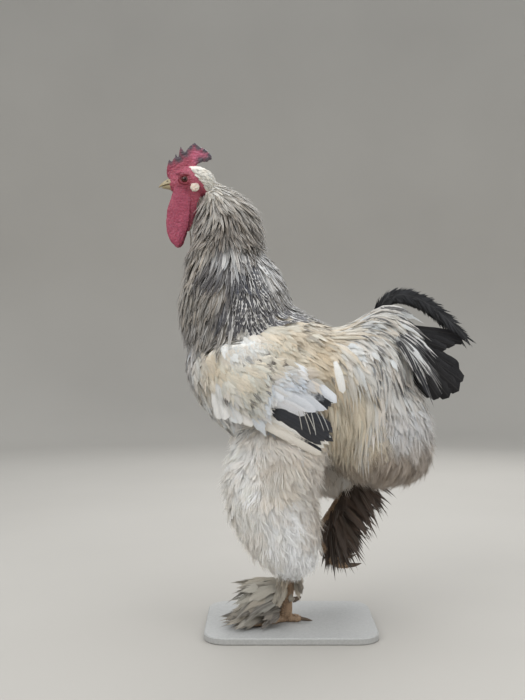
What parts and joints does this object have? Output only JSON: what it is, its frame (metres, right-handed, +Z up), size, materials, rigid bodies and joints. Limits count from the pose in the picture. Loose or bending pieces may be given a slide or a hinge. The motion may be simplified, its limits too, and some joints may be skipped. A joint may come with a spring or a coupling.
{
  "type": "brahma chicken",
  "caption": "Life-size feather-footed rooster with a single comb, in mid stride on one leg, on a thin flat base.",
  "frame": {"origin": "the middle of the base's underside, which rests on the ground", "axes": "+Z up, -X the way the bird faces, -Y its left side, which the picture shows"},
  "size_m": [0.4654, 0.2556, 0.7229],
  "materials": {
    "bare_skin": "matt, finely wrinkled bare skin",
    "comb": "matt, pebbled red skin",
    "ear_lobe": "smooth, pale skin",
    "horn": "satin horn",
    "claw": "satin dark horn",
    "eye": "wet gloss",
    "body_feathers": "soft feathers, white and cream",
    "hackle_feathers": "narrow feathers with dark middles and pale edges",
    "wing_feathers": "smooth feathers, white with black-and-white flight feathers",
    "thigh_feathers": "loose, downy feathers",
    "fluff_feathers": "loose, downy feathers",
    "tail_feathers": "satin black feathers",
    "scaly_leg": "scaly skin with grey-brown feathers",
    "base": "fine matt grey"
  },
  "bodies": {
    "root": {"head": "bare_skin", "comb": "comb", "wattle_left": "comb", "wattle_right": "comb", "ear_lobe_left": "ear_lobe", "ear_lobe_right": "ear_lobe", "beak_upper": "horn", "beak_lower": "horn", "eye_left": "eye", "eye_right": "eye", "trunk": "body_feathers", "neck": "hackle_feathers", "wing_left": "wing_feathers", "wing_right": "wing_feathers", "thigh_left": "thigh_feathers", "thigh_right": "thigh_feathers", "fluff": "fluff_feathers", "tail": "tail_feathers", "sickle_base_left": "tail_feathers", "sickle_base_right": "tail_feathers", "sickle_tip_left": "tail_feathers", "sickle_tip_right": "tail_feathers", "shank_left": "scaly_leg", "shank_right": "scaly_leg", "foot_left": "scaly_leg", "foot_right": "scaly_leg", "spur_left": "horn", "spur_right": "horn", "stand_base": "base", "claw_middle_left": "claw", "claw_outer_left": "claw", "claw_inner_left": "claw", "claw_hind_left": "claw", "claw_middle_right": "claw", "claw_outer_right": "claw", "claw_inner_right": "claw", "claw_hind_right": "claw"}
  },
  "joints": []
}
